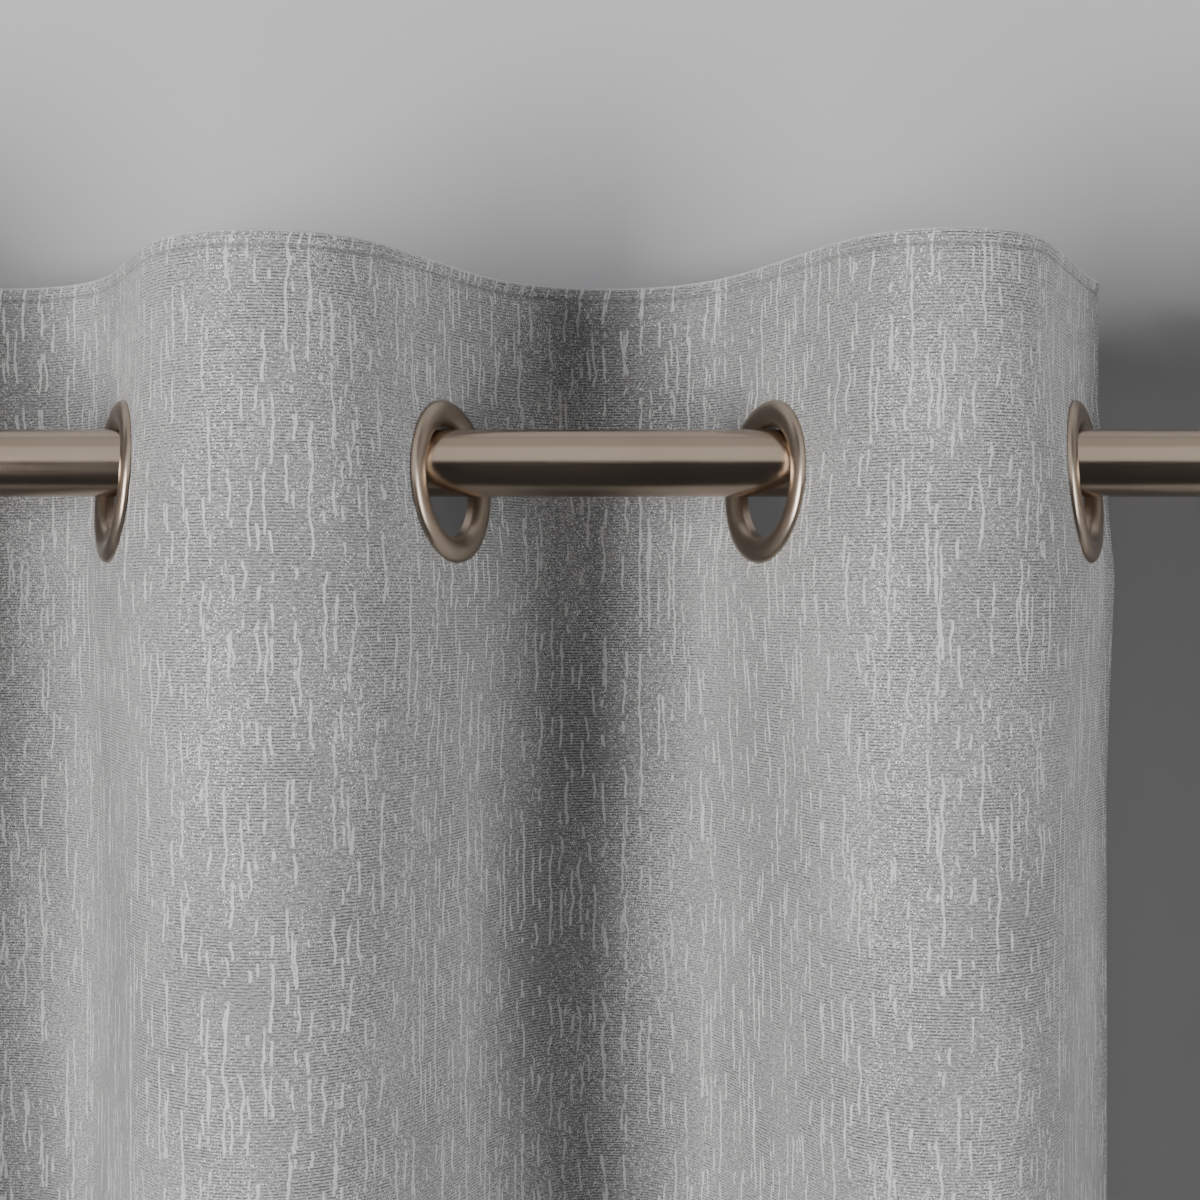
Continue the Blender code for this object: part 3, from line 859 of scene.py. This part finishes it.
def plain_material(name, colour, roughness):
    """A soft painted surface for the floor and the wall."""
    graph = Graph(name)
    mottle = graph.noise(3, 3, 61, detail=4)
    dark = tuple(c * 0.96 for c in colour)
    return graph.set(Base_Color=graph.mix(mottle, (*dark, 1), (*colour, 1)), Roughness=roughness)


# Building


def body_at(side, eyelet):
    """The body that an eyelet belongs to: the outer one is held between the bracket and the finial."""
    return "pole_and_brackets" if eyelet == 1 else f"{side}_eyelet_{eyelet}"


def hold(obj, side, section):
    """Joins a piece at either end of the panel to the body of its end eyelet; a piece from the folds between
    is only baked in place.
    """
    if section == 0:
        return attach(obj, body_at(side, 1))
    if section == EYELETS:
        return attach(obj, body_at(side, EYELETS))
    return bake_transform(obj)


def section_name(section):
    return {0: "return_edge", EYELETS: "leading_edge"}.get(section, f"fold_{section}")


def stitch_rows(panel, section):
    """Each row of stitches in a section: (name, surface, ends, side of the cloth)."""
    first, last = panel.sections[section]
    low, high = panel.cloth[first], panel.cloth[last]
    inner = (max(low, SIDE_HEM), min(high, PANEL_CLOTH - SIDE_HEM))
    lining = panel.lining[1]
    crease = TOP - TOP_BAND
    facing = TOP - FACING + 0.003
    hem = HEM + HEM_DEPTH - 0.003
    rows = [
        ("top_stitching", panel.front, ((low, crease), (high, crease)), 1),
        ("back_stitching", panel.back, ((low, crease), (high, crease)), -1),
        ("facing_stitching", panel.back, ((inner[0], facing), (inner[1], facing)), -1),
    ]
    rise = HEM + LINING_RISE + LINING_HEM
    rows.append(("lining_stitching", lining, ((inner[0], rise), (inner[1], rise)), -1))
    if section in (0, EYELETS):
        x = SIDE_HEM - 0.003 if section == 0 else PANEL_CLOTH - SIDE_HEM + 0.003
        rows.append(("side_stitching", panel.back, ((x, HEM + 0.004), (x, TOP - FACING)), -1))
        rows.append(("hem_stitching", panel.back, ((low + 0.004, hem), (high - 0.004, hem)), -1))
    return rows


def make_panel(side, cloth, lining, thread):
    panel = Panel(side)
    shift = panel.normal * panel.lining_offset()[:, :, None]
    panel.lining = [panel.middle + panel.normal * depth + shift for depth in (LINING_FRONT, LINING_BACK)]
    tucked = [int(np.searchsorted(panel.z, z)) for z in (HEM + LINING_RISE, TOP - FACING + TUCK)]
    inner = [int(np.searchsorted(panel.cloth, SIDE_HEM - TUCK))]
    inner.append(int(np.searchsorted(panel.cloth, PANEL_CLOTH - SIDE_HEM + TUCK)))
    for section, (first, last) in enumerate(panel.sections):
        name = f"{side}_{section_name(section)}"
        rows = (0, len(panel.z) - 1)
        face = cloth_piece(f"{name}_cloth", panel, (panel.front, panel.back), (first, last), rows, cloth)
        columns = (max(first, inner[0]), min(last, inner[1]))
        back = cloth_piece(f"{name}_lining", panel, panel.lining, columns, tucked, lining, cut=False)
        for label, surface, ends, out in stitch_rows(panel, section):
            row = stitches(f"{name}_{label}", panel, surface, ends, out, thread)
            hold(row, side, section)
        for piece in (face, back):
            hold(piece, side, section)
        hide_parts(f"{side}_curtain_{section_name(section)}")


def eyelet_frame(side, eyelet):
    """Local Z is the way the front ring faces, and local X is up in the eyelet's own plane."""
    angle = bulge(eyelet) * FLANK
    across = Vector((math.cos(angle), math.sin(angle), 0))
    up = Vector((-bulge(eyelet) * LEAN, 0, 1))
    up = (up - across * up.dot(across)).normalized()
    facing = across.cross(up)
    for vector in (up, facing):
        vector.x *= HANDS[side]
    origin = Vector((HANDS[side] * EYELET_X[eyelet - 1], -PROJECTION, EYELET_Z))
    return frame_at(origin, facing, up)


def front_ring_profile():
    """The barrel, flared out like a funnel to a crown halfway over the lip that bears on the cloth."""
    inner, outer = EYELET_BORE, EYELET_RADIUS
    crown = outer - LIP_SHOULDER
    barrel_end = BARREL_WALL - BACK_RISE
    funnel = [
        (crown - (crown - inner) * math.cos(a), FRONT_RISE * math.sin(a))
        for a in np.linspace(0, math.pi / 2, 15)
    ]
    shoulder = [
        (crown + LIP_SHOULDER * math.sin(a), LIP_EDGE + (FRONT_RISE - LIP_EDGE) * math.cos(a))
        for a in np.linspace(0, math.pi / 2, 13)[1:]
    ]
    under = [
        (outer, FACE + 0.0001),
        (outer - 0.0006, FACE),
        (inner + BARREL_WALL, FACE),
        (inner + BARREL_WALL, barrel_end),
        (inner + BARREL_WALL / 2, barrel_end - 0.0003),
        (inner, barrel_end),
    ]
    return [*funnel, *shoulder, *under]


def back_ring_profile():
    inner, outer = EYELET_BORE + BARREL_WALL + GAP, EYELET_RADIUS
    crown = bezier(
        (
            (inner, -BARREL_WALL),
            (inner, -BACK_RISE * 1.22),
            (outer - 0.003, -BACK_RISE * 1.12),
            (outer, TURNED - 0.0006),
        ),
        14,
    )
    return [*crown, (outer, TURNED - 0.0001), (outer - 0.0006, TURNED), (inner, TURNED)]


def finish_metal(obj, body, slot, *nodes):
    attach(obj, body)
    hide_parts(*nodes)


def make_eyelets(side, metal):
    for eyelet in range(1, EYELETS + 1):
        matrix = eyelet_frame(side, eyelet)
        for node, profile in zip(ring_names(side, eyelet), (front_ring_profile(), back_ring_profile())):
            ring = turned(f"{node}_rolled", profile, matrix, metal, closed=True)
            finish_metal(ring, body_at(side, eyelet), "eyelet_bronze", node)


def make_pole(metal):
    inner = POLE_RADIUS - POLE_WALL
    bevel = POLE_WALL / 4
    profile = [
        (inner, -POLE_END),
        (POLE_RADIUS - bevel, -POLE_END),
        (POLE_RADIUS, -POLE_END + bevel),
        (POLE_RADIUS, POLE_END - bevel),
        (POLE_RADIUS - bevel, POLE_END),
        (inner, POLE_END),
    ]
    pole = turned("brushed_pole", profile, frame_at(-Y * PROJECTION, X, Z), metal, closed=True)
    finish_metal(pole, "pole_and_brackets", "bronze", "curtain_pole")


def hexagon(angles):
    return math.cos(math.pi / 6) / np.cos(angles % (math.pi / 3) - math.pi / 6)


def cross(angles):
    return 0.36 + 0.64 * np.abs(np.cos(2 * angles)) ** 3


def knurled(angles):
    return 1 - 0.05 * np.abs(np.sin(KNURLS / 2 * angles))


def threaded(height, angles):
    """A ridge that climbs by one pitch in each turn."""
    return 1 - 0.32 * np.abs((height / THREAD_PITCH + angles / math.tau) % 1 * 2 - 1)


def screw_head(radius, base, top, bevel, recess, depth):
    """(profile, rows of the recess) of a screw's head and its driver recess, from the middle out."""
    profile = [
        (0, top - depth),
        (recess, top - depth),
        (recess, top),
        (radius - bevel, top),
        (radius - bevel / 3, top - bevel / 3),
        (radius, top - bevel),
        (radius, base),
    ]
    return profile, (1, 2)


def metal_body(node):
    """The body that a piece of the pole's hardware belongs to."""
    side, part = node.split("_")[:2]
    return f"{side}_finial" if part == "finial" else "pole_and_brackets"


def fitting(node, made, profile, at, metal, slot="bronze", **options):
    """A turned piece of the pole's hardware that takes its node's place."""
    finish_metal(turned(f"{node}_{made}", profile, at, metal, **options), metal_body(node), slot, node)


def grub_screw(node, at, tip, head, metal):
    """A headless screw with a hexagon socket."""
    profile, recess = screw_head(GRUB_RADIUS, tip, head, GRUB_RADIUS / 5, GRUB_RADIUS / 2, GRUB_RADIUS / 2)
    shapes = {row: hexagon for row in recess}
    fitting(node, "socketed", [*profile, (0, tip)], at, metal, "steel", sides=36, shapes=shapes)


def wall_screw(node, at, metal):
    """A pan-head wood screw with a cross recess and a helical thread that narrows to its point."""
    seat = PLATE_THICKNESS + GAP
    rise = WALL_SCREW_HEAD_RISE
    top = seat + rise
    head, recess = screw_head(WALL_SCREW_HEAD, seat, top, rise * 0.7, WALL_SCREW_HEAD * 0.55, rise * 0.6)
    tail = PLATE_THICKNESS - WALL_SCREW_LENGTH
    heights = np.arange(seat, tail, -THREAD_PITCH / 6)
    taper = np.clip((heights - tail) / (3 * WALL_SCREW_RADIUS), 0.08, 1)
    rows = [(WALL_SCREW_RADIUS * t, h) for t, h in zip(taper, heights)]
    shapes = {row: cross for row in recess}
    for row, (_, height) in enumerate(rows, len(head)):
        if height < 0:
            shapes[row] = functools.partial(threaded, height)
    fitting(node, "threaded", [*head, *rows, (0, tail)], at, metal, "steel", sides=32, shapes=shapes)


def make_wall_plate(side, wall, metal, steel):
    outline = [
        (0, 0),
        (PLATE_RADIUS, 0),
        (PLATE_RADIUS, PLATE_THICKNESS * 0.45),
        (PLATE_RADIUS - PLATE_THICKNESS * 0.35, PLATE_THICKNESS * 0.8),
        (PLATE_RADIUS - PLATE_THICKNESS * 0.8, PLATE_THICKNESS),
        (STUD_RADIUS, PLATE_THICKNESS),
        (STUD_RADIUS, PLATE_THICKNESS + PLATE_STUD),
        (0, PLATE_THICKNESS + PLATE_STUD),
    ]
    name = f"{side}_bracket_wall_plate"
    fitting(name, "turned", rounded(outline, FITTING_ROUND), frame_at(wall, -Y, Z), metal)
    for level, way in (("upper", 1), ("lower", -1)):
        at = frame_at(wall + Z * way * WALL_SCREW_SPACING / 2, -Y, Z)
        wall_screw(f"{side}_bracket_{level}_wall_screw", at, steel)


def make_arm(side, wall, metal, steel):
    """The hollow arm with its flared foot, and the small screw that grips the plate's stud."""
    bore = STUD_RADIUS + GAP
    foot = PLATE_THICKNESS + GAP
    front = PROJECTION - CRADLE_OUTER - GAP
    profile = [
        (bore, foot),
        (ARM_FOOT_RADIUS, foot),
        (ARM_FOOT_RADIUS, foot + ARM_FOOT),
        (ARM_RADIUS, foot + 2 * ARM_FOOT),
        (ARM_RADIUS, front),
        (bore, front),
    ]
    name = f"{side}_bracket_arm"
    outline = rounded(profile, ARM_FOOT / 3, closed=True)
    fitting(name, "turned", outline, frame_at(wall, -Y, Z), metal, closed=True)
    below = frame_at(wall - Y * (PLATE_THICKNESS + PLATE_STUD * 0.7), -Z, X)
    grub_screw(f"{name}_screw", below, bore, ARM_RADIUS + GRUB_PROUD, steel)


def cradle_outline():
    """The cradle's open-topped U round the pole, as (y, z) points, the outside first."""
    down = np.linspace(math.pi, math.tau, 49)
    outer = [(CRADLE_OUTER * math.cos(a), CRADLE_OUTER * math.sin(a)) for a in down]
    inner = [(POLE_SEAT * math.cos(a), POLE_SEAT * math.sin(a)) for a in reversed(down)]
    return [
        (-CRADLE_OUTER, CRADLE_LIP),
        *outer,
        (CRADLE_OUTER, CRADLE_LIP),
        (POLE_SEAT, CRADLE_LIP),
        *inner,
        (-POLE_SEAT, CRADLE_LIP),
    ]


def make_cradle(side, x, metal, steel):
    """The U that the pole lies in, with softened edges, and the thumbscrew that locks the pole."""
    outline = np.array(cradle_outline())
    count = len(outline)
    half = CRADLE_WIDTH / 2
    ends = [np.column_stack((np.full(count, end), outline)) for end in (x - half, x + half)]
    points = np.concatenate(ends) - np.array((0, PROJECTION, 0))
    index = np.arange(count)
    after = np.roll(index, -1)
    sides = np.stack((index, after, after + count, index + count), axis=1)
    across = index[: count // 2]
    caps = np.stack((across, count - 1 - across), axis=1)
    caps = np.stack((caps[:-1, 1], caps[1:, 1], caps[1:, 0], caps[:-1, 0]), axis=1)
    name = f"{side}_bracket_cradle"
    faces = np.concatenate((sides, caps, caps[:, ::-1] + count))
    cradle = add_mesh(f"{name}_bent", points, faces, [metal])
    run = np.concatenate(([0], np.cumsum(np.linalg.norm(np.diff(outline, axis=0), axis=1))))
    place = np.concatenate([np.column_stack((run, 0 * run + end)) for end in (0, CRADLE_WIDTH)])
    paint_coordinates(cradle.data, place[faces].reshape(-1, 2))
    bm = bmesh.new()
    bm.from_mesh(cradle.data)
    bmesh.ops.recalc_face_normals(bm, faces=bm.faces)
    sharp = [edge for edge in bm.edges if edge.calc_face_angle(0) > math.radians(50)]
    bmesh.ops.bevel(bm, geom=sharp, offset=CRADLE_ROUND, segments=3, profile=0.5, affect="EDGES")
    bm.to_mesh(cradle.data)
    bm.free()
    finish_metal(cradle, metal_body(name), "bronze", name)
    head = CRADLE_OUTER + GAP
    top = head + LOCK_HEAD
    profile, recess = screw_head(LOCK_HEAD_RADIUS, head, top, 0.0008, LOCK_HEAD_RADIUS * 0.45, 0.002)
    shapes = {row: hexagon for row in recess}
    shapes.update({row: knurled for row in range(recess[-1] + 1, len(profile))})
    profile += [(LOCK_SCREW_RADIUS, head), (LOCK_SCREW_RADIUS, POLE_SEAT), (0, POLE_SEAT)]
    node = f"{side}_bracket_pole_screw"
    at = frame_at(Vector((x, -PROJECTION, 0)), -Z, X)
    fitting(node, "knurled", profile, at, steel, "steel", sides=4 * KNURLS, shapes=shapes)


def make_finial(side, metal, steel):
    """The sleeve over the pole's end, its grub screw, and the ball on its waisted neck."""
    outward = -X * HANDS[side]
    origin = outward * SLEEVE_X - Y * PROJECTION
    along = frame_at(origin, outward, Z)
    end = SLEEVE_DEPTH + SLEEVE_END
    outer = POLE_SEAT + SLEEVE_WALL
    bead = outer + SLEEVE_BEAD
    profile = [
        (POLE_SEAT, 0),
        (bead, 0),
        (bead, 2 * SLEEVE_BEAD),
        (outer, 3 * SLEEVE_BEAD),
        (outer, SLEEVE_DEPTH),
        (NECK_RADIUS, end),
        (BALL_STUD_RADIUS + GAP, end),
        (BALL_STUD_RADIUS + GAP, SLEEVE_DEPTH),
        (POLE_SEAT, SLEEVE_DEPTH),
    ]
    outline = rounded(profile, FITTING_ROUND, closed=True)
    fitting(f"{side}_finial_sleeve", "turned", outline, along, metal, closed=True)
    below = frame_at(origin + outward * SLEEVE_DEPTH / 2, -Z, X)
    grub_screw(f"{side}_finial_screw", below, POLE_SEAT, outer + GRUB_PROUD, steel)
    seat = end + GAP
    start = math.asin(NECK_RADIUS / BALL_RADIUS)
    centre = seat + NECK_LENGTH + BALL_RADIUS * math.cos(start)
    profile = [
        (0, seat - BALL_STUD),
        (BALL_STUD_RADIUS, seat - BALL_STUD),
        (BALL_STUD_RADIUS, seat),
        (NECK_RADIUS, seat),
        (NECK_RADIUS, seat + NECK_LENGTH * 0.15),
        (NECK_RADIUS - SLEEVE_BEAD, seat + NECK_LENGTH * 0.5),
        (NECK_RADIUS, seat + NECK_LENGTH * 0.9),
    ]
    profile = rounded(profile, NECK_ROUND)
    for angle in np.linspace(start, math.pi, 48):
        profile.append((BALL_RADIUS * math.sin(angle), centre - BALL_RADIUS * math.cos(angle)))
    fitting(f"{side}_finial_ball", "turned", profile, along, metal)


def make_hardware(side, metal, steel):
    x = -HANDS[side] * BRACKET_X
    wall = Vector((x, 0, 0))
    make_wall_plate(side, wall, metal, steel)
    make_arm(side, wall, metal, steel)
    make_cradle(side, x, metal, steel)
    make_finial(side, metal, steel)


# Stage


def plane(name, corners, material):
    obj = add_mesh(name, np.array(corners, float), np.array([[0, 1, 2, 3]]), [material], False)
    paint_coordinates(obj.data, np.array([(0, 0), (8, 0), (8, 6), (0, 6)], float))
    return obj


def area_light(name, location, target, size, radiance, colour=(1, 1, 1)):
    """A soft rectangular light of this radiance, facing target."""
    data = bpy.data.lights.new(name, "AREA")
    data.shape = "RECTANGLE"
    data.size, data.size_y = size
    data.energy = radiance * math.pi * size[0] * size[1]
    data.color = colour
    obj = bpy.data.objects.new(name, data)
    obj.location = location
    obj.rotation_euler = (Vector(target) - Vector(location)).to_track_quat("-Z", "Y").to_euler()
    bpy.context.scene.collection.objects.link(obj)
    return obj


def make_world():
    """A pale surround for the camera, and a dim one for what the cloth and metal see."""
    world = bpy.data.worlds.new("studio")
    world.use_nodes = True
    nodes, links = world.node_tree.nodes, world.node_tree.links
    seen = nodes["Background"]
    seen.inputs["Color"].default_value = (0.55, 0.56, 0.58, 1)
    dim = nodes.new("ShaderNodeBackground")
    dim.inputs["Color"].default_value = (0.09, 0.09, 0.095, 1)
    path = nodes.new("ShaderNodeLightPath")
    darker = nodes.new("ShaderNodeMath")
    darker.operation = "MULTIPLY_ADD"
    darker.inputs[1].default_value, darker.inputs[2].default_value = -0.35, 1.0
    links.new(path.outputs["Is Glossy Ray"], darker.inputs[0])
    links.new(darker.outputs["Value"], dim.inputs["Strength"])
    chosen = nodes.new("ShaderNodeMixShader")
    links.new(path.outputs["Is Camera Ray"], chosen.inputs["Fac"])
    links.new(dim.outputs["Background"], chosen.inputs[1])
    links.new(seen.outputs["Background"], chosen.inputs[2])
    links.new(chosen.outputs["Shader"], nodes["World Output"].inputs["Surface"])
    bpy.context.scene.world = world


def see_through_from_behind(material):
    """Lets the camera look at the object through the back of the wall."""
    nodes, links = material.node_tree.nodes, material.node_tree.links
    chosen = nodes.new("ShaderNodeMixShader")
    links.new(nodes.new("ShaderNodeNewGeometry").outputs["Backfacing"], chosen.inputs["Fac"])
    links.new(nodes["Principled BSDF"].outputs["BSDF"], chosen.inputs[1])
    links.new(nodes.new("ShaderNodeBsdfTransparent").outputs["BSDF"], chosen.inputs[2])
    links.new(chosen.outputs["Shader"], nodes["Material Output"].inputs["Surface"])


def make_stage():
    wall = plain_material("painted_wall", (0.50, 0.50, 0.52), 0.9)
    floor = plain_material("pale_floor", (0.62, 0.61, 0.60), 0.8)
    see_through_from_behind(wall)
    ground = HEM - FLOOR_BELOW_HEM
    across = (-ROOM_SIDE, ROOM_SIDE, ROOM_SIDE, -ROOM_SIDE)
    corners = [(x, WALL_BEHIND, z) for x, z in zip(across, (ground, ground, ROOM_HEIGHT, ROOM_HEIGHT))]
    plane("backdrop_wall", corners, wall).visible_shadow = False
    corners = [(x, y, ground) for x, y in zip(across, (-ROOM_DEPTH, -ROOM_DEPTH, BEHIND_WALL, BEHIND_WALL))]
    ground_plane = plane("floor", corners, floor)
    ground_plane.visible_glossy = False
    middle = Vector((-0.25, -PROJECTION, -0.5))
    for name, turn, width, radiance, colour in (
        ("left_softbox", -44, 0.9, 21.0, (1.0, 0.99, 0.975)),
        ("right_softbox", 53, 0.9, 9.0, (0.98, 0.99, 1.0)),
    ):
        away = Vector((math.sin(math.radians(turn)), -math.cos(math.radians(turn)), 0)) * SOFTBOX_REACH
        area_light(name, middle + away, middle, (width, SOFTBOX_HEIGHT), radiance, colour)
    reflector = area_light("reflector", (0, -2.6, 1.75), (0, 0, 1.75), (6, 3.2), 0.9)
    ceiling = area_light("ceiling_reflector", (0, -0.9, 3.3), (0, -0.9, 0), (6, 3.4), 0.6)
    for light in (reflector, ceiling):
        light.visible_diffuse = False
    area_light("back_fill", (0.3, 2.4, 0.5), (0, 0, -0.4), (3, 2.2), 2.0)
    make_world()


def make_camera():
    data = bpy.data.cameras.new("camera")
    data.lens = CAMERA_LENS
    data.clip_start = 0.05
    camera = bpy.data.objects.new("camera", data)
    camera.location = CAMERA_PLACE
    camera.rotation_euler = (math.radians(90), 0, 0)
    bpy.context.scene.collection.objects.link(camera)
    bpy.context.scene.camera = camera


def main():
    cloth, lining, thread = cloth_material(), lining_material(), thread_material()
    pole_metal = metal_material("brushed_bronze", (0.38, 0.30, 0.232), (0.46, 0.37, 0.29), 0.15, 20, 5000)
    ring_metal = metal_material("spun_bronze", (0.38, 0.305, 0.24), (0.47, 0.385, 0.31), 0.28, 6000, 40, 0.5)
    steel = metal_material("zinc_steel", (0.42, 0.41, 0.40), (0.56, 0.55, 0.54), 0.30, 3000, 60, 0.6)
    make_pole(pole_metal)
    for side in HANDS:
        make_hardware(side, ring_metal, steel)
        make_panel(side, cloth, lining, thread)
        make_eyelets(side, ring_metal)
    make_stage()
    make_camera()


main()
